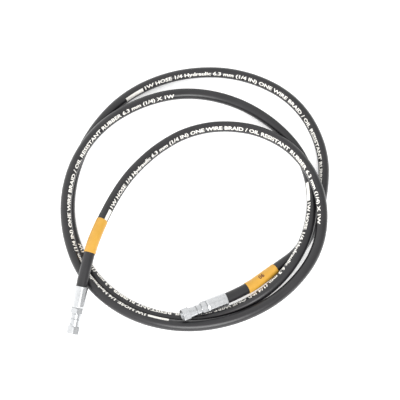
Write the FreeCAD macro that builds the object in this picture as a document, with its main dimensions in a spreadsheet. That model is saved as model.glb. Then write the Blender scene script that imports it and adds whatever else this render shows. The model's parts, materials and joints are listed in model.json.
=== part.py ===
"""Hydraulic hose assembly: a wire-braid hose in a loose coil, with two crimped swivel fittings.

Frame: millimetres, +Z up. The origin is on the floor, under the middle of the assembly.
The hose is a cover, a wire braid and an inner tube along one route. Each end has a ferrule,
a nipple, a retaining ring, a swivel nut and, a little way back, a marker sleeve.
"""
import FreeCAD, Part
import math
import os

# Driving dimensions. A fitting's stations are distances along its axis from the ferrule's
# mouth, where the hose goes in; they grow towards the open end of the nut.
SIZES = [
    ("hose_outer_radius", 6.7, "rubber cover, outside"),
    ("braid_outer_radius", 5.55, "rubber cover, inside, and wire braid, outside"),
    ("braid_inner_radius", 4.75, "wire braid, inside, and inner tube, outside"),
    ("hose_bore_radius", 3.2, "inner tube, inside"),
    ("hose_grip", 20, "length of hose held inside each ferrule"),
    ("coil_centre_x", -1.42, "place of the coil's centre"),
    ("coil_centre_y", -6.61, "place of the coil's centre"),
    ("sleeve_outer_radius", 7.2, "marker sleeve, outside"),
    ("sleeve_length", 44, "marker sleeve, along the hose"),
    ("sleeve_a_distance", 41, "from the mouth of ferrule A to its sleeve"),
    ("sleeve_b_distance", 29.5, "from the mouth of ferrule B to its sleeve"),
    ("ferrule_radius", 8.4, "ferrule over the ridges between the crimp marks"),
    ("crimp_across_flats", 16.2, "ferrule over two opposite crimp marks"),
    ("ferrule_lip_radius", 7.5, "outside of the lip that closes on the nipple"),
    ("ferrule_groove_radius", 7.2, "relief grooves inside the ferrule"),
    ("ferrule_seat_radius", 5.3, "inside of the ferrule, round the nipple's shoulder"),
    ("ferrule_mouth", 0, "station"),
    ("crimp_start", 2.2, "station"),
    ("hose_stop", 20.2, "station"),
    ("ferrule_seat_end", 21.8, "station"),
    ("crimp_end", 23.8, "station"),
    ("ferrule_end", 25.8, "station"),
    ("groove_width", 1.6, "one relief groove"),
    ("groove_pitch", 4, "from one relief groove to the next"),
    ("bore_radius", 2.2, "way through the nipple"),
    ("tail_root_radius", 2.95, "nipple's tail between the barbs"),
    ("tail_barb_radius", 3.2, "nipple's tail over the barbs"),
    ("barb_length", 2.6, "one barb"),
    ("barb_pitch", 3.6, "from one barb to the next"),
    ("shoulder_radius", 5.2, "nipple's shoulder behind the ferrule's lip, and the turned groove"),
    ("nipple_neck_radius", 4.7, "nipple inside the ferrule's lip"),
    ("stem_across_flats", 14, "nipple's hexagon"),
    ("collar_radius", 6.3, "nipple's round collar, and the nut's round collar"),
    ("swivel_neck_radius", 4.45, "nipple inside the nut's rear hole"),
    ("head_radius", 4.65, "nipple's head inside the nut's bore"),
    ("seat_mouth_radius", 4.35, "37 degree seat at the face of the head"),
    ("tail_start", 0.8, "station"),
    ("shoulder_start", 20.4, "station"),
    ("shoulder_end", 21.6, "station"),
    ("stem_hex_start", 26.1, "station"),
    ("stem_hex_end", 32.9, "station"),
    ("collar_start", 33.8, "station"),
    ("collar_end", 39.2, "station"),
    ("head_start", 41.7, "station"),
    ("ring_station", 46, "station of the retaining ring's middle"),
    ("seat_start", 47.35, "station"),
    ("head_end", 50.2, "station"),
    ("ring_radius", 4.6, "retaining ring, to the middle of its wire"),
    ("ring_wire_radius", 0.6, "retaining ring's wire"),
    ("ring_groove_nipple", 0.62, "half-round groove in the nipple"),
    ("ring_groove_nut", 0.72, "half-round groove in the nut"),
    ("nut_rear_radius", 4.5, "nut's rear hole"),
    ("nut_bore_radius", 4.7, "nut's bore round the head"),
    ("thread_radius", 4.95, "minor radius of the 7/16-20 thread"),
    ("thread_major_radius", 5.6, "countersink at the thread's mouth"),
    ("nut_across_flats", 14.3, "nut's hexagon"),
    ("wire_hole_radius", 0.8, "hole through which the ring is fed in"),
    ("nut_start", 39.8, "station"),
    ("nut_bore_start", 41.3, "station"),
    ("nut_hex_start", 48.3, "station"),
    ("thread_start", 50.5, "station"),
    ("thread_mouth", 56.8, "station"),
    ("nut_end", 57.5, "station"),
    ("before_all", -2, "station clear of both ends, for the cutters"),
    ("after_all", 60, "station clear of both ends, for the cutters"),
    ("turn_a", 12, "turn of fitting A's flats about its axis, degrees"),
    ("turn_b", 20, "turn of fitting B's flats about its axis, degrees"),
]

# The route of the hose. Heights are of its underside above the floor.
# The loose ends are x, y, height from the coil's centre. The first and last points are the
# ends of the hose inside the two ferrules.
LOOSE_END_A = [(-139, -133, 14.5), (-129, -83, 32), (-112, -32, 29)]
LOOSE_END_B = [(92, -92, 4.5), (57, -119, 10), (19, -136, 16.5)]
# The turns run clockwise from above, fifteen points to a turn, as radius and height.
FIRST_ANGLE = -192
ANGLE_STEP = -24
TURNS = [
    (91, 16), (83, 9), (85, 3), (95, 0), (109, 0), (126, 6), (142, 19), (157, 23),
    (166, 17), (163, 9), (161, 8), (164, 9), (168, 10), (169, 10), (163, 16), (159, 16),
    (155, 13), (151, 6), (150, 2), (147, 0), (146, 0), (149, 2), (147, 10), (147, 17),
    (148, 10), (148, 0), (153, 0), (157, 0), (159, 0), (159, 0), (158, 0), (162, 0),
    (171, 0), (178, 0), (186, 0), (190, 0), (178, 0), (158, 0), (147, 0),
]
# An arc takes this share of its shorter run on each side of its point.
ARC_SHARE = 0.45

BARBS = 5
RELIEF_GROOVES = 4
CRIMP_MARKS = 8
# Cone that turns off a hexagon's corners, in degrees from the axis.
CORNER_CONE = 60
# A piece of the path shorter than this, in millimetres, is left out.
SHORTEST_EDGE = 1e-6

os.makedirs("parts", exist_ok=True)
doc = FreeCAD.newDocument("hydraulic_hose_assembly")
subparts = []


def make_sheet():
    """Spreadsheet with one driving dimension to a row."""
    sheet = doc.addObject("Spreadsheet::Sheet", "Sizes")
    for row, (alias, value, note) in enumerate(SIZES, start=1):
        sheet.set(f"A{row}", note)
        sheet.set(f"B{row}", str(value))
        sheet.setAlias(f"B{row}", alias)
    doc.recompute()
    return sheet


sizes = make_sheet()


def size(alias):
    """Value of a driving dimension."""
    return float(sizes.get(alias))


def keep(item, label, placement=None):
    """Name an object as a sub-part and put it in its place."""
    item.Label = label
    if placement is not None:
        item.Placement = placement
    subparts.append(item)
    return item


# ---------------------------------------------------------------- shapes along a fitting's axis

def cylinder(name, radius, start, end):
    """Cylinder of a sheet radius between two stations."""
    item = doc.addObject("Part::Cylinder", name)
    item.setExpression("Radius", f"Sizes.{radius}")
    item.setExpression("Height", f"Sizes.{end} - Sizes.{start}")
    item.setExpression("Placement.Base.z", f"Sizes.{start}")
    return item


def cone(name, start_radius, end_radius, start, end):
    """Cone between two stations, with sheet radii at both."""
    item = doc.addObject("Part::Cone", name)
    item.setExpression("Radius1", f"Sizes.{start_radius}")
    item.setExpression("Radius2", f"Sizes.{end_radius}")
    item.setExpression("Height", f"Sizes.{end} - Sizes.{start}")
    item.setExpression("Placement.Base.z", f"Sizes.{start}")
    return item


def prism(name, sides, across_flats, start, end):
    """Regular prism between two stations, by its size across flats."""
    item = doc.addObject("Part::Prism", name)
    item.Polygon = sides
    item.setExpression("Circumradius", f"Sizes.{across_flats} / 2 / cos(180 / {sides})")
    item.setExpression("Height", f"Sizes.{end} - Sizes.{start}")
    item.setExpression("Placement.Base.z", f"Sizes.{start}")
    return item


def ring(name, wire_radius):
    """Torus of the retaining ring's radius, at its station."""
    item = doc.addObject("Part::Torus", name)
    item.setExpression("Radius1", "Sizes.ring_radius")
    item.setExpression("Radius2", f"Sizes.{wire_radius}")
    item.setExpression("Placement.Base.z", "Sizes.ring_station")
    return item


def fuse(name, pieces):
    """One solid made of several."""
    item = doc.addObject("Part::MultiFuse", name)
    item.Shapes = pieces
    item.Refine = True
    return item


def cut(name, base, cutters):
    """A solid less all of its cutters."""
    item = doc.addObject("Part::Cut", name)
    item.Base = base
    item.Tool = fuse(f"{name}_cutters", cutters) if len(cutters) > 1 else cutters[0]
    item.Refine = True
    return item


def hexagon(name, across_flats, start, end):
    """Hexagonal length whose corners are turned off at 30 degrees at both faces."""
    length = f"(Sizes.{end} - Sizes.{start})"
    flat = f"Sizes.{across_flats} / 2"
    widening = doc.addObject("Part::Cone", f"{name}_rear_turning")
    widening.setExpression("Radius1", flat)
    widening.setExpression("Radius2", f"{flat} + {length} * tan({CORNER_CONE})")
    widening.setExpression("Height", length)
    widening.setExpression("Placement.Base.z", f"Sizes.{start}")
    narrowing = doc.addObject("Part::Cone", f"{name}_front_turning")
    narrowing.setExpression("Radius1", f"{flat} + {length} * tan({CORNER_CONE})")
    narrowing.setExpression("Radius2", flat)
    narrowing.setExpression("Height", length)
    narrowing.setExpression("Placement.Base.z", f"Sizes.{start}")
    item = doc.addObject("Part::MultiCommon", name)
    item.Shapes = [prism(f"{name}_bar", 6, across_flats, start, end), widening, narrowing]
    return item


def stepped(item, first, pitch, index):
    """Move one of a row of equal features to its own step."""
    item.setExpression("Placement.Base.z", f"Sizes.{first} + {index} * Sizes.{pitch}")
    return item


# ---------------------------------------------------------------- one fitting

def make_ferrule(end, placement):
    """Crimped sleeve: bell mouth, eight crimp marks, lip, and relief grooves inside."""
    crimped = doc.addObject("Part::MultiCommon", f"crimped_length_{end}")
    crimped.Shapes = [
        cylinder(f"crimp_ridges_{end}", "ferrule_radius", "crimp_start", "crimp_end"),
        prism(f"crimp_flats_{end}", CRIMP_MARKS, "crimp_across_flats", "crimp_start", "crimp_end"),
    ]
    body = fuse(f"ferrule_blank_{end}", [
        cylinder(f"bell_mouth_{end}", "ferrule_radius", "ferrule_mouth", "crimp_start"),
        crimped,
        cone(f"ferrule_lip_{end}", "ferrule_radius", "ferrule_lip_radius", "crimp_end", "ferrule_end"),
    ])
    cutters = [
        cylinder(f"hose_space_{end}", "hose_outer_radius", "before_all", "hose_stop"),
        cylinder(f"shoulder_space_{end}", "ferrule_seat_radius", "hose_stop", "ferrule_seat_end"),
        cylinder(f"lip_hole_{end}", "nipple_neck_radius", "ferrule_seat_end", "after_all"),
    ]
    for index in range(RELIEF_GROOVES):
        groove = doc.addObject("Part::Cylinder", f"relief_groove_{end}_{index}")
        groove.setExpression("Radius", "Sizes.ferrule_groove_radius")
        groove.setExpression("Height", "Sizes.groove_width")
        cutters.append(stepped(groove, "groove_pitch", "groove_pitch", index))
    keep(cut(f"ferrule_{end}_solid", body, cutters), f"ferrule_{end}", placement)


def make_nipple(end, placement):
    """Turned nipple: barbed tail, shoulder, hexagon, collar and seated head."""
    lengths = [
        cylinder(f"tail_{end}", "tail_root_radius", "tail_start", "shoulder_start"),
        cylinder(f"shoulder_{end}", "shoulder_radius", "shoulder_start", "shoulder_end"),
        cylinder(f"nipple_neck_{end}", "nipple_neck_radius", "shoulder_end", "stem_hex_start"),
        hexagon(f"stem_hexagon_{end}", "stem_across_flats", "stem_hex_start", "stem_hex_end"),
        cylinder(f"turned_groove_{end}", "shoulder_radius", "stem_hex_end", "collar_start"),
        cylinder(f"collar_{end}", "collar_radius", "collar_start", "collar_end"),
        cylinder(f"swivel_neck_{end}", "swivel_neck_radius", "collar_end", "head_start"),
        cylinder(f"head_{end}", "head_radius", "head_start", "head_end"),
    ]
    for index in range(BARBS):
        barb = doc.addObject("Part::Cone", f"barb_{end}_{index}")
        barb.setExpression("Radius1", "Sizes.tail_root_radius")
        barb.setExpression("Radius2", "Sizes.tail_barb_radius")
        barb.setExpression("Height", "Sizes.barb_length")
        lengths.append(stepped(barb, "tail_start", "barb_pitch", index))
    cutters = [
        cylinder(f"through_bore_{end}", "bore_radius", "before_all", "after_all"),
        cone(f"seat_{end}", "bore_radius", "seat_mouth_radius", "seat_start", "head_end"),
        ring(f"nipple_groove_{end}", "ring_groove_nipple"),
    ]
    body = fuse(f"nipple_blank_{end}", lengths)
    keep(cut(f"nipple_{end}_solid", body, cutters), f"nipple_{end}", placement)


def make_nut(end, placement):
    """Swivel nut: round collar, hexagon, bore, ring groove, feed hole and thread."""
    body = fuse(f"nut_blank_{end}", [
        cylinder(f"nut_collar_{end}", "collar_radius", "nut_start", "nut_hex_start"),
        hexagon(f"nut_hexagon_{end}", "nut_across_flats", "nut_hex_start", "nut_end"),
    ])
    feed_hole = doc.addObject("Part::Cylinder", f"ring_feed_hole_{end}")
    feed_hole.Placement = FreeCAD.Placement(
        FreeCAD.Vector(), FreeCAD.Rotation(FreeCAD.Vector(0, 1, 0), 90))
    feed_hole.setExpression("Radius", "Sizes.wire_hole_radius")
    feed_hole.setExpression("Height", "Sizes.nut_across_flats")
    feed_hole.setExpression("Placement.Base.z", "Sizes.ring_station")
    cutters = [
        cylinder(f"nut_rear_hole_{end}", "nut_rear_radius", "before_all", "nut_bore_start"),
        cylinder(f"nut_bore_{end}", "nut_bore_radius", "nut_bore_start", "thread_start"),
        cylinder(f"thread_core_{end}", "thread_radius", "thread_start", "after_all"),
        cone(f"thread_countersink_{end}", "thread_radius", "thread_major_radius",
             "thread_mouth", "nut_end"),
        ring(f"nut_groove_{end}", "ring_groove_nut"),
        feed_hole,
    ]
    keep(cut(f"swivel_nut_{end}_solid", body, cutters), f"swivel_nut_{end}", placement)


def make_ring(end, placement):
    """Round wire that locks the nut to the nipple."""
    item = ring(f"retaining_ring_{end}_solid", "ring_wire_radius")
    along = placement.multVec(FreeCAD.Vector(0, 0, size("ring_station")))
    item.setExpression("Placement.Base.z", None)
    keep(item, f"retaining_ring_{end}", FreeCAD.Placement(along, placement.Rotation))


def fitting_placement(tip, inner, turn):
    """Frame of a fitting: its mouth one grip before the hose's end, +Z out along the hose."""
    outward = (tip - inner).normalize()
    mouth = tip - outward * size("hose_grip")
    aim = FreeCAD.Rotation(FreeCAD.Vector(0, 0, 1), outward)
    spin = FreeCAD.Rotation(FreeCAD.Vector(0, 0, 1), turn)
    return FreeCAD.Placement(mouth, aim.multiply(spin))


def make_fitting(end, tip, inner):
    """All the pieces of one crimped end."""
    placement = fitting_placement(tip, inner, size(f"turn_{end}"))
    make_ferrule(end, placement)
    make_nipple(end, placement)
    make_ring(end, placement)
    make_nut(end, placement)
    axis = placement.Rotation.multVec(FreeCAD.Vector(0, 0, 1))
    face = placement.multVec(FreeCAD.Vector(0, 0, size("nut_end")))
    print(f"fitting {end}: axis {tuple(round(value, 6) for value in axis)}")
    print(f"fitting {end}: nut's open face at {tuple(round(value, 4) for value in face)} mm")


# ---------------------------------------------------------------- the hose

def route_points():
    """Points of the hose's centre line: loose end A, the turns, loose end B."""
    centre_x = size("coil_centre_x")
    centre_y = size("coil_centre_y")
    rise = size("hose_outer_radius")
    offsets = list(LOOSE_END_A)
    for index, (radius, height) in enumerate(TURNS):
        angle = math.radians(FIRST_ANGLE + ANGLE_STEP * index)
        offsets.append((radius * math.cos(angle), radius * math.sin(angle), height))
    offsets += LOOSE_END_B
    return [FreeCAD.Vector(centre_x + x, centre_y + y, rise + height) for x, y, height in offsets]


def rounded_path(points):
    """Straight runs joined by tangent arcs, each as large as its two runs allow."""
    edges = []
    start = points[0]
    for before, corner, after in zip(points, points[1:], points[2:]):
        run_in = corner - before
        run_out = after - corner
        turn = run_in.getAngle(run_out)
        reach = ARC_SHARE * min(run_in.Length, run_out.Length)
        radius = reach / math.tan(turn / 2)
        print(f"turn {math.degrees(turn):5.1f} degrees, radius {radius:6.1f} mm")
        into = run_in.normalize()
        onward = run_out.normalize()
        arc_start = corner - into * reach
        arc_end = corner + onward * reach
        inward = (onward - into).normalize()
        arc_middle = corner + inward * radius * (1 / math.cos(turn / 2) - 1)
        edges.append(Part.LineSegment(start, arc_start).toShape())
        edges.append(Part.Arc(arc_start, arc_middle, arc_end).toShape())
        start = arc_end
    edges.append(Part.LineSegment(start, points[-1]).toShape())
    return edges


def stretch(edges, start, end):
    """The part of a path between two distances along it."""
    cut_edges = []
    travelled = 0
    for edge in edges:
        first = max(start - travelled, 0)
        last = min(end - travelled, edge.Length)
        if last - first > SHORTEST_EDGE:
            cut_edges.append(edge.Curve.toShape(
                edge.getParameterByLength(first), edge.getParameterByLength(last)))
        travelled += edge.Length
    return cut_edges


def line_object(name, edges):
    """Centre line that sweeps follow."""
    item = doc.addObject("Part::Feature", name)
    item.Shape = Part.Wire(edges)
    return item


def swept(name, line, radius):
    """Solid round bar of a sheet radius along a centre line."""
    first = line.Shape.Edges[0]
    start = first.valueAt(first.FirstParameter)
    heading = first.tangentAt(first.FirstParameter)
    profile = doc.addObject("Part::Circle", f"{name}_profile")
    profile.setExpression("Radius", f"Sizes.{radius}")
    profile.Placement = FreeCAD.Placement(
        start, FreeCAD.Rotation(FreeCAD.Vector(0, 0, 1), heading))
    item = doc.addObject("Part::Sweep", name)
    item.Sections = [profile]
    item.Spine = (line, [f"Edge{number + 1}" for number in range(len(line.Shape.Edges))])
    item.Solid = True
    item.Frenet = False
    return item


def make_tube(label, line, outer, inner):
    """Tube between two sheet radii along a centre line."""
    bar = swept(f"{label}_bar", line, outer)
    core = swept(f"{label}_core", line, inner)
    tube = keep(cut(f"{label}_solid", bar, [core]), label)
    return tube, outer, inner, line


def make_hose(edges):
    """The hose's three layers and its two marker sleeves."""
    whole = line_object("hose_line", edges)
    total = sum(edge.Length for edge in edges)
    grip = size("hose_grip")
    length = size("sleeve_length")
    start_a = grip + size("sleeve_a_distance")
    end_b = total - grip - size("sleeve_b_distance")
    line_a = line_object("sleeve_line_a", stretch(edges, start_a, start_a + length))
    line_b = line_object("sleeve_line_b", stretch(edges, end_b - length, end_b))
    print(f"hose length {total:.1f} mm")
    return [
        make_tube("hose_cover", whole, "hose_outer_radius", "braid_outer_radius"),
        make_tube("wire_braid", whole, "braid_outer_radius", "braid_inner_radius"),
        make_tube("inner_tube", whole, "braid_inner_radius", "hose_bore_radius"),
        make_tube("marker_sleeve_a", line_a, "sleeve_outer_radius", "hose_outer_radius"),
        make_tube("marker_sleeve_b", line_b, "sleeve_outer_radius", "hose_outer_radius"),
    ]


# ---------------------------------------------------------------- tests and files

def compare_volumes(tubes):
    """Print each tube's volume over its section times its length."""
    for tube, outer, inner, line in tubes:
        section = math.pi * (size(outer) ** 2 - size(inner) ** 2)
        ratio = tube.Shape.Volume / (section * line.Shape.Length)
        print(f"{tube.Label}: volume over section times length {ratio:.5f}")


def check_document():
    """Stop at any object that failed to build."""
    for item in doc.Objects:
        if "Invalid" in item.State or "Error" in item.State:
            raise RuntimeError(f"{item.Name} failed: {item.State}")
    for item in subparts:
        if item.Shape.isNull() or not item.Shape.isValid():
            raise RuntimeError(f"{item.Label} has no valid shape")


def print_bounds():
    """Print the whole assembly's box. The coil's centre is set so that its middle is at the origin."""
    box = FreeCAD.BoundBox()
    for item in subparts:
        box.add(item.Shape.optimalBoundingBox(False))
    print(f"x {box.XMin:.3f} to {box.XMax:.3f}, middle {box.Center.x:.3f}")
    print(f"y {box.YMin:.3f} to {box.YMax:.3f}, middle {box.Center.y:.3f}")
    print(f"z {box.ZMin:.3f} to {box.ZMax:.3f}")


points = route_points()
tubes = make_hose(rounded_path(points))
make_fitting("a", points[0], points[1])
make_fitting("b", points[-1], points[-2])
doc.recompute()
check_document()
compare_volumes(tubes)
print_bounds()
for item in subparts:
    item.Shape.exportStep(f"parts/{item.Label}.step")
    print(f"{item.Label}: {len(item.Shape.Solids)} solid, {item.Shape.Volume:.1f} mm3")
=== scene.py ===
import json
import math

import bmesh
import bpy
from mathutils import Matrix, Vector


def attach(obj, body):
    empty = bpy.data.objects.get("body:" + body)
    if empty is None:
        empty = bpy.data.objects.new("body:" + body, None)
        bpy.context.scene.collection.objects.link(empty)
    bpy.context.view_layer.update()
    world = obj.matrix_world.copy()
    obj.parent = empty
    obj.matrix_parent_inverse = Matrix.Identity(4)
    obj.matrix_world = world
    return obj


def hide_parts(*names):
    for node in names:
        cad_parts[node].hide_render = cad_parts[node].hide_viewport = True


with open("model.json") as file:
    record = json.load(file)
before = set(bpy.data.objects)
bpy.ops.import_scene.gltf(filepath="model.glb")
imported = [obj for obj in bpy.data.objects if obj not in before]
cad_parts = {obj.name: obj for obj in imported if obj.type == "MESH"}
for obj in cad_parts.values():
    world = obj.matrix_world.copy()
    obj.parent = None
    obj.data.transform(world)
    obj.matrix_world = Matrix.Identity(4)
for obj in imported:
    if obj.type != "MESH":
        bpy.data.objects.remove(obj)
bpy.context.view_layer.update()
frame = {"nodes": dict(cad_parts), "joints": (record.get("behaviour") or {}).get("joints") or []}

# Looks of the hydraulic hose assembly, in metres. Distances along a fitting's axis are
# stations from its ferrule's mouth, growing towards the open end of the nut.

MM = 0.001

# ---------------------------------------------------------------- driving sizes

HOSE_RADIUS = 6.7 * MM
BRAID_OUTER = 5.55 * MM
BRAID_INNER = 4.75 * MM
HOSE_BORE = 3.2 * MM
HOSE_GRIP = 20 * MM

# The hose's route, as in the CAD, in millimetres. Heights are of its underside above the floor.
# The loose ends are x, y, height from the coil's centre.
COIL_CENTRE = (-1.42, -6.61)
LOOSE_END_A = [(-139, -133, 14.5), (-129, -83, 32), (-112, -32, 29)]
LOOSE_END_B = [(92, -92, 4.5), (57, -119, 10), (19, -136, 16.5)]
# The turns run clockwise from above, fifteen points to a turn, as radius and height.
FIRST_ANGLE = -192
ANGLE_STEP = -24
TURNS = [
    (91, 16), (83, 9), (85, 3), (95, 0), (109, 0), (126, 6), (142, 19), (157, 23),
    (166, 17), (163, 9), (161, 8), (164, 9), (168, 10), (169, 10), (163, 16), (159, 16),
    (155, 13), (151, 6), (150, 2), (147, 0), (146, 0), (149, 2), (147, 10), (147, 17),
    (148, 10), (148, 0), (153, 0), (157, 0), (159, 0), (159, 0), (158, 0), (162, 0),
    (171, 0), (178, 0), (186, 0), (190, 0), (178, 0), (158, 0), (147, 0),
]

SLEEVE_LENGTH = 44 * MM
SLEEVE_A_START = HOSE_GRIP + 41 * MM
SLEEVE_B_END = HOSE_GRIP + 29.5 * MM
SLEEVE_OUTER = 7.2 * MM
SLEEVE_INNER = 6.75 * MM
SLEEVE_EDGE = 0.2 * MM

# Printing on the cover. Its angle is from the top of the hose towards the coil's middle.
PRINT_ANGLE = math.radians(46)
PRINT_HEIGHT = 6.2 * MM
PRINT_THICKNESS = 0.05 * MM
PRINT_LIFT = 0.03 * MM
BLOCK_PLACES = [107 * MM, 786 * MM, 1453 * MM, 2104 * MM]
BLOCK_LENGTH = 26 * MM
BLOCK_WIDTH = 4.6 * MM
LETTERING_START = 16 * MM
LETTERING_LENGTH = 405 * MM
LETTER_BOLDNESS = 0.03
PHRASE = "1W HOSE 1/4 Hydraulic 6.3 mm (1/4 IN) ONE WIRE BRAID / OIL RESISTANT RUBBER 6.3 mm (1/4) X 1W"
SLEEVE_NUMBER = "06"
NUMBER_LENGTH = 7.5 * MM
NUMBER_HEIGHT = 5 * MM
NUMBER_SHARE = 0.42
NUMBER_ANGLE = math.radians(12)

# How finely curved shapes are divided.
LINE_STEPS = 14
HOSE_SIDES = 48
RIM_STEPS = 3
COLUMNS = 144
LETTER_SLICES = 9
BLOCK_SLICES = 6
TEXT_EXTRUDE = 0.1
SAME_PLACE = 1e-7

# Fittings. The barbs are in millimetres, like the profiles that they are part of.
RING_STATION = 46 * MM
FITTING_TURNS = {"a": math.radians(12), "b": math.radians(20)}
CRIMP_MARKS = 8
CRIMP_ACROSS_FLATS = 16.2 * MM
STEM_ACROSS_FLATS = 14 * MM
NUT_ACROSS_FLATS = 14.3 * MM
TAIL_START = 0.8
TAIL_ROOT = 2.95
BARBS = 5
BARB_PITCH = 3.6
BARB_LENGTH = 2.6
BARB_RADIUS = 3.18
FEED_HOLE_RADIUS = 0.8 * MM
FEED_HOLE_DEPTH = 1.1 * MM
FEED_HOLE_EDGE = 0.25 * MM
FEED_HOLE_ANGLE = math.radians(96)
THREAD_PITCH = 1.27 * MM
THREAD_DEPTH = 0.55 * MM
THREAD_FLANK = 0.42
EDGE_ROUNDING = 0.2 * MM
NUT_ROUNDING = 0.15 * MM
PROFILE_STEP = 0.5 * MM
NUT_STEP = 0.16 * MM

FLOOR_REACH = 6
FLOOR_GAP = 0.1 * MM
FLOOR_GLOW = 0.4
RIGHT_BRIGHTNESS = 0.85
LEFT_BRIGHTNESS = 1.8


# ---------------------------------------------------------------- camera

LOOK_AT = Vector((4.8, -1.4, 0)) * MM
CAMERA_ELEVATION = math.radians(70)
CAMERA_DISTANCE = 1.675
SENSOR_WIDTH = 36
FOCAL_LENGTH = 121.3


def make_camera():
    """Camera high over the front of the coil, upright, as a long lens sees it."""
    back = Vector((0, -math.cos(CAMERA_ELEVATION), math.sin(CAMERA_ELEVATION)))
    data = bpy.data.cameras.new("camera")
    data.sensor_width = SENSOR_WIDTH
    data.lens = FOCAL_LENGTH
    data.clip_start = 0.1
    data.clip_end = 20
    camera = bpy.data.objects.new("camera", data)
    bpy.context.scene.collection.objects.link(camera)
    camera.location = LOOK_AT + back * CAMERA_DISTANCE
    camera.rotation_euler = (-back).to_track_quat("-Z", "Y").to_euler()
    bpy.context.scene.camera = camera


# ---------------------------------------------------------------- the hose's line

def route_points():
    """The hose's centre line: loose end A, the turns, loose end B."""
    offsets = list(LOOSE_END_A)
    for index, (radius, height) in enumerate(TURNS):
        angle = math.radians(FIRST_ANGLE + ANGLE_STEP * index)
        offsets.append((radius * math.cos(angle), radius * math.sin(angle), height))
    offsets += LOOSE_END_B
    lift = Vector((COIL_CENTRE[0] * MM, COIL_CENTRE[1] * MM, HOSE_RADIUS))
    return [Vector(offset) * MM + lift for offset in offsets]


def smooth_line(points):
    """Points read from a NURBS spline whose control points are the route's."""
    data = bpy.data.curves.new("hose_line", "CURVE")
    data.dimensions = "3D"
    data.resolution_u = LINE_STEPS
    spline = data.splines.new("NURBS")
    spline.points.add(len(points) - 1)
    for control, point in zip(spline.points, points):
        control.co = (*point, 1)
    spline.order_u = 3
    spline.use_endpoint_u = True
    line = bpy.data.objects.new("hose_line", data)
    bpy.context.scene.collection.objects.link(line)
    mesh = bpy.data.meshes.new_from_object(line)
    read = [vertex.co.copy() for vertex in mesh.vertices]
    bpy.data.objects.remove(line)
    bpy.data.meshes.remove(mesh)
    return read


class Line:
    """A centre line with its distances and, at each point, its heading, side and top."""

    def __init__(self, points):
        self.points = points
        self.distances = [0]
        for before, after in zip(points, points[1:]):
            self.distances.append(self.distances[-1] + (after - before).length)
        self.length = self.distances[-1]
        self.headings = []
        for index in range(len(points)):
            before = points[max(index - 1, 0)]
            after = points[min(index + 1, len(points) - 1)]
            self.headings.append((after - before).normalized())

    def index_at(self, distance):
        """The last point at or before a distance."""
        low, high = 0, len(self.points) - 2
        while low < high:
            middle = (low + high + 1) // 2
            if self.distances[middle] <= distance:
                low = middle
            else:
                high = middle - 1
        return low

    def at(self, distance):
        """Place, side and top at a distance. The side points to the coil's middle."""
        index = self.index_at(distance)
        gap = self.distances[index + 1] - self.distances[index]
        share = (distance - self.distances[index]) / gap
        place = self.points[index].lerp(self.points[index + 1], share)
        heading = self.headings[index].lerp(self.headings[index + 1], share).normalized()
        side = heading.cross(Vector((0, 0, 1))).normalized()
        top = side.cross(heading)
        return place, side, top

    def surface(self, distance, angle, radius):
        """A point round the line, its angle from the top towards the coil's middle."""
        place, side, top = self.at(distance)
        return place + (top * math.cos(angle) + side * math.sin(angle)) * radius

    def between(self, start, end):
        """Distances from start to end, with the line's own points between."""
        inside = [value for value in self.distances if start < value < end]
        return [start] + inside + [end]


# ---------------------------------------------------------------- mesh helpers

def add_piece(name, mesh, body, material):
    """Link a mesh as a piece that rides on a body."""
    piece = bpy.data.objects.new(name, mesh)
    bpy.context.scene.collection.objects.link(piece)
    mesh.materials.clear()
    mesh.materials.append(material)
    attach(piece, body)
    return piece


def smooth_shading(mesh, angle=35):
    """Smooth faces, with sharp edges where the surface turns more than the angle."""
    mesh.polygons.foreach_set("use_smooth", [True] * len(mesh.polygons))
    mesh.set_sharp_from_angle(angle=math.radians(angle))


def looped_mesh(name, rings, closed):
    """Mesh of rings of points, joined ring to ring. The map holds the point's own pair."""
    columns = len(rings[0])
    vertices = [place for ring in rings for place, _ in ring]
    faces = []
    maps = []
    count = len(rings)
    for row in range(count if closed else count - 1):
        following = (row + 1) % count
        for column in range(columns):
            onward = (column + 1) % columns
            faces.append((
                row * columns + column,
                row * columns + onward,
                following * columns + onward,
                following * columns + column,
            ))
            wide = 1 if onward == 0 else onward / columns
            maps += [
                (column / columns, rings[row][column][1]),
                (wide, rings[row][onward][1]),
                (wide, rings[following][onward][1]),
                (column / columns, rings[following][column][1]),
            ]
    mesh = bpy.data.meshes.new(name)
    mesh.from_pydata(vertices, [], faces)
    layer = mesh.uv_layers.new(name="UVMap")
    for corner, pair in zip(layer.data, maps):
        corner.uv = pair
    return mesh


def face_outwards(mesh):
    """Make all normals of a closed mesh point out."""
    shape = bmesh.new()
    shape.from_mesh(mesh)
    bmesh.ops.recalc_face_normals(shape, faces=shape.faces)
    shape.to_mesh(mesh)
    shape.free()


def rounded_rim(place, radius, rounding, inwards):
    """Profile points from a tube's end face round to its outside, or its one sharp corner."""
    if rounding == 0:
        return [(place, radius)]
    rim = []
    for step in range(RIM_STEPS + 1):
        turn = math.pi / 2 * step / RIM_STEPS
        rim.append((place + inwards * rounding * (1 - math.cos(turn)),
                    radius - rounding * (1 - math.sin(turn))))
    return rim


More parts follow.
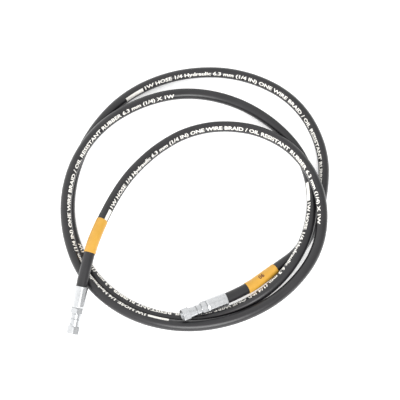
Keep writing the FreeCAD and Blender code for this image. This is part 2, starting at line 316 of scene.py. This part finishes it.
def tube_mesh(name, line, distances, outer, inner, rounding=0):
    """Closed tube along a line, its two outer rims rounded off."""
    start, end = distances[0], distances[-1]
    profile = [(start, inner)] + rounded_rim(start, outer, rounding, 1)
    profile += [(value, outer) for value in distances if start + rounding < value < end - rounding]
    profile += reversed(rounded_rim(end, outer, rounding, -1))
    profile += [(end, inner)]
    profile += [(value, inner) for value in reversed(distances[1:-1])]
    rings = []
    for distance, radius in profile:
        place, side, top = line.at(distance)
        ring = []
        for index in range(HOSE_SIDES):
            angle = 2 * math.pi * index / HOSE_SIDES
            ring.append((place + (top * math.cos(angle) + side * math.sin(angle)) * radius,
                         distance))
        rings.append(ring)
    mesh = looped_mesh(name, rings, True)
    face_outwards(mesh)
    smooth_shading(mesh)
    return mesh


def wrapped_mesh(name, flat, line, start, angle):
    """Flat printing bent onto the hose: x along it, y round it, z out of it."""
    for vertex in flat.vertices:
        along, across, out = vertex.co
        vertex.co = line.surface(start + along, angle - across / HOSE_RADIUS, HOSE_RADIUS + out)
    flat.name = name
    smooth_shading(flat)
    return flat


def slice_across(mesh, height):
    """Cut a flat mesh along lines on which it will bend round the hose."""
    shape = bmesh.new()
    shape.from_mesh(mesh)
    bmesh.ops.remove_doubles(shape, verts=shape.verts, dist=SAME_PLACE)
    for index in range(LETTER_SLICES + 1):
        level = height * (index / LETTER_SLICES - 0.5)
        bmesh.ops.bisect_plane(
            shape, geom=shape.verts[:] + shape.edges[:] + shape.faces[:],
            plane_co=(0, level, 0), plane_no=(0, 1, 0))
    bmesh.ops.triangulate(shape, faces=shape.faces[:])
    shape.to_mesh(mesh)
    shape.free()


def text_mesh(words, length, height, out, reverse=False):
    """Flat lettering as a thin solid, fitted to a length and a height, from x = 0."""
    data = bpy.data.curves.new("lettering", "FONT")
    data.body = words
    data.size = 1
    data.resolution_u = 2
    data.extrude = TEXT_EXTRUDE
    data.offset = LETTER_BOLDNESS
    item = bpy.data.objects.new("lettering", data)
    bpy.context.scene.collection.objects.link(item)
    mesh = bpy.data.meshes.new_from_object(item)
    bpy.data.objects.remove(item)
    xs = [vertex.co.x for vertex in mesh.vertices]
    ys = [vertex.co.y for vertex in mesh.vertices]
    wide, tall = max(xs) - min(xs), max(ys) - min(ys)
    for vertex in mesh.vertices:
        vertex.co.x = (vertex.co.x - min(xs)) / wide * length
        vertex.co.y = ((vertex.co.y - min(ys)) / tall - 0.5) * height
        vertex.co.z = out + (vertex.co.z / TEXT_EXTRUDE + 1) / 2 * PRINT_THICKNESS
        if reverse:
            vertex.co.x = length - vertex.co.x
            vertex.co.y = -vertex.co.y
    slice_across(mesh, height)
    return mesh


def strip_mesh(name, line, start, end, angle, width, out):
    """Thin printed strip along the hose."""
    across = [width * (index / BLOCK_SLICES - 0.5) for index in range(BLOCK_SLICES + 1)]
    rings = []
    for distance in line.between(start, end):
        outer = [(offset, out + PRINT_THICKNESS) for offset in across]
        inner = [(offset, out) for offset in reversed(across)]
        rings.append([
            (line.surface(distance, angle - offset / HOSE_RADIUS, HOSE_RADIUS + rise), distance)
            for offset, rise in outer + inner])
    mesh = looped_mesh(name, rings, False)
    shape = bmesh.new()
    shape.from_mesh(mesh)
    rim = [edge for edge in shape.edges if edge.is_boundary]
    bmesh.ops.holes_fill(shape, edges=rim, sides=0)
    bmesh.ops.recalc_face_normals(shape, faces=shape.faces)
    shape.to_mesh(mesh)
    shape.free()
    smooth_shading(mesh)
    return mesh


def joined(name, meshes):
    """Several meshes as one."""
    shape = bmesh.new()
    for mesh in meshes:
        shape.from_mesh(mesh)
        bpy.data.meshes.remove(mesh)
    whole = bpy.data.meshes.new(name)
    shape.to_mesh(whole)
    shape.free()
    return whole


# ---------------------------------------------------------------- materials

def new_material(name):
    """Material with its principled shader and node tree."""
    material = bpy.data.materials.new(name)
    material.use_nodes = True
    return material, material.node_tree, material.node_tree.nodes["Principled BSDF"]


def mapped(tree, source, scale):
    """Texture coordinates stretched by a scale."""
    coordinates = tree.nodes.new("ShaderNodeTexCoord")
    mapping = tree.nodes.new("ShaderNodeMapping")
    mapping.inputs["Scale"].default_value = scale
    tree.links.new(coordinates.outputs[source], mapping.inputs["Vector"])
    return mapping.outputs["Vector"]


def noise(tree, vector, scale, detail=4, roughness=0.55):
    """Noise over a vector."""
    node = tree.nodes.new("ShaderNodeTexNoise")
    node.inputs["Scale"].default_value = scale
    node.inputs["Detail"].default_value = detail
    node.inputs["Roughness"].default_value = roughness
    tree.links.new(vector, node.inputs["Vector"])
    return node.outputs["Fac"]


def ramp(tree, value, stops):
    """Colour ramp over a value."""
    node = tree.nodes.new("ShaderNodeValToRGB")
    node.color_ramp.elements[0].position = stops[0][0]
    node.color_ramp.elements[0].color = (*stops[0][1], 1)
    node.color_ramp.elements[1].position = stops[-1][0]
    node.color_ramp.elements[1].color = (*stops[-1][1], 1)
    for position, colour in stops[1:-1]:
        element = node.color_ramp.elements.new(position)
        element.color = (*colour, 1)
    tree.links.new(value, node.inputs["Fac"])
    return node.outputs["Color"]


def spread(tree, value, low, high):
    """A value from 0 to 1 as a value from low to high."""
    node = tree.nodes.new("ShaderNodeMapRange")
    node.inputs["To Min"].default_value = low
    node.inputs["To Max"].default_value = high
    tree.links.new(value, node.inputs["Value"])
    return node.outputs["Result"]


def bump(tree, value, distance, strength, below=None):
    """Bump from a height, on top of another bump."""
    node = tree.nodes.new("ShaderNodeBump")
    node.inputs["Distance"].default_value = distance
    node.inputs["Strength"].default_value = strength
    tree.links.new(value, node.inputs["Height"])
    if below is not None:
        tree.links.new(below, node.inputs["Normal"])
    return node.outputs["Normal"]


def cover_rubber():
    """Black synthetic rubber with the fine print of its curing wrap and faint blotches."""
    material, tree, shader = new_material("cover_rubber")
    place = mapped(tree, "Object", (1, 1, 1))
    round_and_along = mapped(tree, "UV", (1, 60, 1))
    blotches = noise(tree, place, scale=38)
    grain = noise(tree, place, scale=2600, detail=3)
    colour = ramp(tree, blotches, [(0.3, (0.008, 0.008, 0.009)), (0.75, (0.015, 0.014, 0.016))])
    tree.links.new(colour, shader.inputs["Base Color"])
    tree.links.new(spread(tree, blotches, low=0.24, high=0.36), shader.inputs["Roughness"])
    wrap = tree.nodes.new("ShaderNodeTexWave")
    wrap.wave_type = "BANDS"
    wrap.bands_direction = "DIAGONAL"
    wrap.inputs["Scale"].default_value = 3
    wrap.inputs["Distortion"].default_value = 0.6
    tree.links.new(round_and_along, wrap.inputs["Vector"])
    wrapped = bump(tree, wrap.outputs["Fac"], distance=0.02 * MM, strength=0.3)
    normal = bump(tree, grain, distance=0.02 * MM, strength=0.4, below=wrapped)
    tree.links.new(normal, shader.inputs["Normal"])
    shader.inputs["Specular IOR Level"].default_value = 0.5
    return material


def print_ink(name, colour, wear):
    """Printed ink, a little uneven where it took to the rubber."""
    material, tree, shader = new_material(name)
    place = mapped(tree, "Object", (1, 1, 1))
    patches = noise(tree, place, scale=900)
    faded = tuple(channel * wear for channel in colour)
    tree.links.new(ramp(tree, patches, [(0.28, faded), (0.5, colour)]), shader.inputs["Base Color"])
    tree.links.new(spread(tree, patches, low=0.5, high=0.7), shader.inputs["Roughness"])
    return material


def sleeve_plastic():
    """Amber marker film, evenly coloured, slightly glossy, with faint grain."""
    material, tree, shader = new_material("sleeve_plastic")
    place = mapped(tree, "Object", (1, 1, 1))
    clouds = noise(tree, place, scale=90, detail=3)
    colour = ramp(tree, clouds, [(0.3, (0.50, 0.26, 0.027)), (0.7, (0.565, 0.305, 0.038))])
    tree.links.new(colour, shader.inputs["Base Color"])
    tree.links.new(spread(tree, clouds, low=0.34, high=0.46), shader.inputs["Roughness"])
    grain = noise(tree, place, scale=1800, detail=3)
    normal = bump(tree, grain, distance=0.02 * MM, strength=0.5)
    tree.links.new(normal, shader.inputs["Normal"])
    return material


def plated_steel(name, tint, turned):
    """Bright zinc plate over turned or pressed steel."""
    material, tree, shader = new_material(name)
    place = mapped(tree, "Object", (1, 1, 1))
    clouds = noise(tree, place, scale=300, detail=5)
    dark = tuple(channel * 0.88 for channel in tint)
    tree.links.new(ramp(tree, clouds, [(0.3, dark), (0.7, tint)]), shader.inputs["Base Color"])
    shader.inputs["Metallic"].default_value = 1
    tree.links.new(spread(tree, clouds, low=0.2, high=0.36), shader.inputs["Roughness"])
    lathe = noise(tree, mapped(tree, "UV", (2, 6000, 1)), scale=1, detail=2)
    marks = bump(tree, lathe, distance=0.01 * MM, strength=turned)
    pits = noise(tree, place, scale=1500)
    normal = bump(tree, pits, distance=0.008 * MM, strength=0.1, below=marks)
    tree.links.new(normal, shader.inputs["Normal"])
    return material


def braid_wire():
    """Diagonal bands of brass-coated wire."""
    material, tree, shader = new_material("braid_wire")
    shader.inputs["Metallic"].default_value = 1
    weave = tree.nodes.new("ShaderNodeTexWave")
    weave.bands_direction = "DIAGONAL"
    weave.inputs["Scale"].default_value = 8
    tree.links.new(mapped(tree, "UV", (12, 400, 1)), weave.inputs["Vector"])
    colour = ramp(tree, weave.outputs["Fac"], [(0, (0.28, 0.22, 0.11)), (1, (0.72, 0.62, 0.38))])
    tree.links.new(colour, shader.inputs["Base Color"])
    roughness = spread(tree, weave.outputs["Fac"], low=0.5, high=0.3)
    tree.links.new(roughness, shader.inputs["Roughness"])
    normal = bump(tree, weave.outputs["Fac"], distance=0.2 * MM, strength=0.8)
    tree.links.new(normal, shader.inputs["Normal"])
    return material


def tube_rubber():
    """Smooth black nitrile rubber."""
    material, tree, shader = new_material("tube_rubber")
    place = mapped(tree, "Object", (1, 1, 1))
    clouds = noise(tree, place, scale=120, detail=3)
    colour = ramp(tree, clouds, [(0.3, (0.012, 0.012, 0.012)), (0.7, (0.022, 0.022, 0.022))])
    tree.links.new(colour, shader.inputs["Base Color"])
    tree.links.new(spread(tree, clouds, low=0.4, high=0.55), shader.inputs["Roughness"])
    return material


def floor_paint():
    """Plain white light table, lit a little from below."""
    material, tree, shader = new_material("floor_paint")
    place = mapped(tree, "Object", (1, 1, 1))
    clouds = noise(tree, place, scale=3, detail=2)
    colour = ramp(tree, clouds, [(0.3, (0.93, 0.93, 0.93)), (0.7, (0.94, 0.94, 0.94))])
    tree.links.new(colour, shader.inputs["Base Color"])
    shader.inputs["Roughness"].default_value = 0.9
    shader.inputs["Specular IOR Level"].default_value = 0
    shader.inputs["Emission Color"].default_value = (1, 1, 1, 1)
    shader.inputs["Emission Strength"].default_value = FLOOR_GLOW
    return material


# ---------------------------------------------------------------- the hose

def make_hose(line):
    """Cover, braid and inner tube along the line."""
    body = "hose_assembly"
    cover = add_piece("rubber_cover", tube_mesh("rubber_cover", line, line.distances, HOSE_RADIUS,
                                                BRAID_OUTER), body, cover_rubber())
    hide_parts("hose_cover")
    braid = add_piece("steel_braid", tube_mesh("steel_braid", line, line.distances, BRAID_OUTER,
                                               BRAID_INNER), body, braid_wire())
    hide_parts("wire_braid")
    core = add_piece("bore_tube", tube_mesh("bore_tube", line, line.distances, BRAID_INNER,
                                            HOSE_BORE), body, tube_rubber())
    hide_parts("inner_tube")
    return cover, [braid, core]


def make_printing(line):
    """White lettering with a solid block before each run of it."""
    body = "hose_assembly"
    meshes = []
    for block in BLOCK_PLACES:
        meshes.append(strip_mesh("block", line, block - BLOCK_LENGTH / 2, block + BLOCK_LENGTH / 2,
                                 PRINT_ANGLE, BLOCK_WIDTH, PRINT_LIFT))
        flat = text_mesh(PHRASE, LETTERING_LENGTH, PRINT_HEIGHT, PRINT_LIFT)
        meshes.append(wrapped_mesh("words", flat, line, block + LETTERING_START, PRINT_ANGLE))
    ink = print_ink("cover_ink", (0.82, 0.80, 0.75), wear=0.6)
    letters = add_piece("cover_printing", joined("cover_printing", meshes), body,
                        ink)
    return [letters]


def make_sleeves(line):
    """The two amber marker sleeves, and the number on the second."""
    body = "hose_assembly"
    plastic = sleeve_plastic()
    starts = {"a": SLEEVE_A_START, "b": line.length - SLEEVE_B_END - SLEEVE_LENGTH}
    made = []
    for end, start in starts.items():
        distances = line.between(start, start + SLEEVE_LENGTH)
        mesh = tube_mesh(f"amber_sleeve_{end}", line, distances, SLEEVE_OUTER, SLEEVE_INNER,
                         SLEEVE_EDGE)
        sleeve = add_piece(f"amber_sleeve_{end}", mesh, body, plastic)
        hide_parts(f"marker_sleeve_{end}")
        made.append(sleeve)
    out = SLEEVE_OUTER - HOSE_RADIUS + PRINT_LIFT
    flat = text_mesh(SLEEVE_NUMBER, NUMBER_LENGTH, NUMBER_HEIGHT, out, reverse=True)
    number_start = starts["b"] + SLEEVE_LENGTH * NUMBER_SHARE
    number = wrapped_mesh("sleeve_number", flat, line, number_start, NUMBER_ANGLE)
    ink = print_ink("number_ink", (0.09, 0.02, 0.012), wear=0.7)
    made.append(add_piece("sleeve_number", number, body, ink))
    return made


# ---------------------------------------------------------------- the fittings

def fitting_frame(end):
    """Frame of a fitting: origin at the ferrule's mouth, +Z out along the hose."""
    joint = next(item for item in frame["joints"] if item["name"] == f"nut_{end}_spin")
    axis = Vector(joint["axis"]).normalized()
    mouth = Vector(joint["pos_m"]) - axis * RING_STATION
    aim = Vector((0, 0, 1)).rotation_difference(axis).to_matrix().to_4x4()
    return Matrix.Translation(mouth) @ aim @ Matrix.Rotation(FITTING_TURNS[end], 4, "Z")


def flats(sides, across):
    """Radius of a regular prism at an angle, its corners from angle 0 on."""
    share = 2 * math.pi / sides

    def radius(angle):
        return across / 2 / math.cos((angle % share) - share / 2)
    return radius


def profile_line(corners, rounding, step):
    """Profile of (station, radius, kind) corners with rounded bends and close points."""
    rounded = []
    count = len(corners)
    for index, (station, radius, kind) in enumerate(corners):
        here = Vector((station, radius))
        before = Vector(corners[index - 1][:2])
        after = Vector(corners[(index + 1) % count][:2])
        reach = min(rounding, (here - before).length * 0.4, (after - here).length * 0.4)
        first = here + (before - here).normalized() * reach
        last = here + (after - here).normalized() * reach
        for share in (0, 0.25, 0.5, 0.75, 1):
            point = first.lerp(here, share).lerp(here.lerp(last, share), share)
            rounded.append((point.x, point.y, kind))
    close = []
    for here, after in zip(rounded, rounded[1:] + rounded[:1]):
        pieces = max(1, math.ceil((Vector(after[:2]) - Vector(here[:2])).length / step))
        for index in range(pieces):
            share = index / pieces
            close.append((here[0] + (after[0] - here[0]) * share,
                          here[1] + (after[1] - here[1]) * share, here[2]))
    return close


def turned_mesh(name, place, corners, shapes, rounding=EDGE_ROUNDING, step=PROFILE_STEP):
    """Turned solid whose radius is limited or shaped by each profile point's kind."""
    rings = []
    for station, radius, kind in profile_line(corners, rounding, step):
        shape = shapes.get(kind)
        ring = []
        for column in range(COLUMNS):
            angle = 2 * math.pi * column / COLUMNS
            reach = shape(angle, station, radius) if shape else radius
            point = Vector((reach * math.cos(angle), reach * math.sin(angle), station))
            ring.append((place @ point, station))
        rings.append(ring)
    mesh = looped_mesh(name, rings, True)
    face_outwards(mesh)
    smooth_shading(mesh)
    return mesh


def millimetres(corners):
    """Profile corners written in millimetres, in metres."""
    return [(station * MM, radius * MM, kind) for station, radius, kind in corners]


def make_ferrule(end, place, material):
    """Crimped ferrule: bell mouth, eight crimp marks with ridges between, lip."""
    marks = flats(CRIMP_MARKS, CRIMP_ACROSS_FLATS)

    def crimped(angle, station, radius):
        return min(radius, marks(angle))
    corners = millimetres([
        (0, 6.72, "plain"), (0, 8.4, "plain"), (2.0, 8.4, "plain"), (2.4, 8.4, "crimp"),
        (23.6, 8.4, "crimp"), (24.0, 8.3, "plain"), (25.8, 7.5, "plain"),
        (25.8, 4.72, "plain"), (21.8, 4.72, "plain"), (21.8, 6.72, "plain"),
    ])
    mesh = turned_mesh(f"crimped_ferrule_{end}", place, corners, {"crimp": crimped})
    piece = add_piece(mesh.name, mesh, "hose_assembly", material)
    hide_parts(f"ferrule_{end}")
    return piece


def make_nipple(end, place, material):
    """Nipple from the barbed tail to the seated head, with its hexagon and collar."""
    six = flats(6, STEM_ACROSS_FLATS)

    def hexagonal(angle, station, radius):
        return min(radius, six(angle))
    corners = [(TAIL_START, 2.2, "plain"), (TAIL_START, 2.8, "plain")]
    for barb in range(BARBS):
        barb_end = TAIL_START + BARB_PITCH * barb + BARB_LENGTH
        corners += [(barb_end, BARB_RADIUS, "plain"), (barb_end + 0.1, TAIL_ROOT, "plain")]
    corners += [
        (20.4, TAIL_ROOT, "plain"), (20.4, 5.2, "plain"), (21.6, 5.2, "plain"), (21.6, 4.7, "plain"),
        (26.1, 4.7, "plain"), (26.1, 7.0, "hex"), (26.6, 7.95, "hex"), (32.4, 7.95, "hex"),
        (32.9, 7.0, "hex"), (32.9, 5.2, "plain"), (33.8, 5.2, "plain"), (33.8, 6.3, "plain"),
        (39.2, 6.3, "plain"), (39.2, 4.45, "plain"), (41.7, 4.45, "plain"), (41.7, 4.65, "plain"),
        (45.3, 4.65, "plain"), (46.0, 4.0, "plain"), (46.7, 4.65, "plain"),
        (50.2, 4.65, "plain"), (50.2, 4.35, "plain"), (47.35, 2.2, "plain"),
    ]
    mesh = turned_mesh(f"turned_nipple_{end}", place, millimetres(corners), {"hex": hexagonal})
    piece = add_piece(mesh.name, mesh, "hose_assembly", material)
    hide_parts(f"nipple_{end}")
    return piece


def make_nut(end, place, material):
    """Swivel nut: collar with the ring's feed hole, chamfered hexagon, thread inside."""
    six = flats(6, NUT_ACROSS_FLATS)

    def hexagonal(angle, station, radius):
        return min(radius, six(angle))

    def drilled(angle, station, radius):
        gap = (angle - FEED_HOLE_ANGLE + math.pi) % (2 * math.pi) - math.pi
        away = math.hypot(gap * radius, station - RING_STATION)
        share = min(max((FEED_HOLE_RADIUS - away) / FEED_HOLE_EDGE + 0.5, 0), 1)
        return radius - FEED_HOLE_DEPTH * share

    def threaded(angle, station, radius):
        phase = (station / THREAD_PITCH - angle / (2 * math.pi)) % 1
        groove = max(0, 1 - abs(phase - 0.5) / THREAD_FLANK)
        return radius + THREAD_DEPTH * groove
    corners = millimetres([
        (39.8, 4.5, "plain"), (39.8, 6.3, "plain"), (44.6, 6.3, "drill"), (47.4, 6.3, "drill"),
        (48.2, 6.3, "plain"), (48.3, 7.15, "hex"), (48.9, 8.15, "hex"), (56.9, 8.15, "hex"),
        (57.5, 7.15, "hex"), (57.5, 5.7, "plain"), (56.8, 4.95, "thread"), (50.8, 4.95, "thread"),
        (50.5, 4.95, "plain"), (50.5, 4.7, "plain"), (41.3, 4.7, "plain"), (41.3, 4.5, "plain"),
    ])
    shapes = {"hex": hexagonal, "drill": drilled, "thread": threaded}
    mesh = turned_mesh(f"hex_nut_{end}", place, corners, shapes, NUT_ROUNDING, NUT_STEP)
    piece = add_piece(mesh.name, mesh, f"nut_{end}", material)
    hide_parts(f"swivel_nut_{end}")
    return piece


def make_fittings():
    """Both crimped ends. The retaining rings stay as they are, in wire."""
    pressed = plated_steel("zinc_ferrule", (0.57, 0.58, 0.59), turned=0.1)
    turned = plated_steel("zinc_turned", (0.53, 0.54, 0.55), turned=0.25)
    wire = plated_steel("ring_wire", (0.6, 0.6, 0.6), turned=0.1)
    made = {}
    for end in ("a", "b"):
        place = fitting_frame(end)
        made[end] = [
            make_ferrule(end, place, pressed),
            make_nipple(end, place, turned),
            make_nut(end, place, turned),
        ]
        ring = frame["nodes"][f"retaining_ring_{end}"]
        ring.data.materials.clear()
        ring.data.materials.append(wire)
    return made


# ---------------------------------------------------------------- studio

def make_light(name, place, aim, size, power):
    """Soft square light aimed at a point."""
    data = bpy.data.lights.new(name, "AREA")
    data.size = size
    data.energy = power
    light = bpy.data.objects.new(name, data)
    bpy.context.scene.collection.objects.link(light)
    light.location = place
    light.rotation_euler = (Vector(aim) - Vector(place)).to_track_quat("-Z", "Y").to_euler()


def make_studio():
    """White floor, white surroundings brighter on the left, and a soft light near the front."""
    mesh = bpy.data.meshes.new("floor")
    corners = [(x * FLOOR_REACH, y * FLOOR_REACH, -FLOOR_GAP)
               for x, y in ((-1, -1), (1, -1), (1, 1), (-1, 1))]
    mesh.from_pydata(corners, [], [(0, 1, 2, 3)])
    mesh.materials.append(floor_paint())
    floor = bpy.data.objects.new("floor", mesh)
    bpy.context.scene.collection.objects.link(floor)
    world = bpy.data.worlds.new("studio")
    world.use_nodes = True
    tree = world.node_tree
    direction = tree.nodes.new("ShaderNodeTexCoord")
    parts = tree.nodes.new("ShaderNodeSeparateXYZ")
    tree.links.new(direction.outputs["Generated"], parts.inputs["Vector"])
    from_left = tree.nodes.new("ShaderNodeMapRange")
    from_left.inputs["From Min"].default_value = 1
    from_left.inputs["From Max"].default_value = -1
    from_left.inputs["To Min"].default_value = RIGHT_BRIGHTNESS
    from_left.inputs["To Max"].default_value = LEFT_BRIGHTNESS
    tree.links.new(parts.outputs["X"], from_left.inputs["Value"])
    background = tree.nodes["Background"]
    background.inputs["Color"].default_value = (1, 1, 1, 1)
    tree.links.new(from_left.outputs["Result"], background.inputs["Strength"])
    bpy.context.scene.world = world
    make_light("key", place=(0.15, -1.1, 0.8), aim=(0, -0.15, 0), size=0.8, power=14)


# ---------------------------------------------------------------- the scene

make_camera()
hose_line = Line(smooth_line(route_points()))
hose, layers = make_hose(hose_line)
printing = make_printing(hose_line)
sleeves = make_sleeves(hose_line)
fittings = make_fittings()
make_studio()
bpy.context.scene.view_settings.view_transform = "Standard"
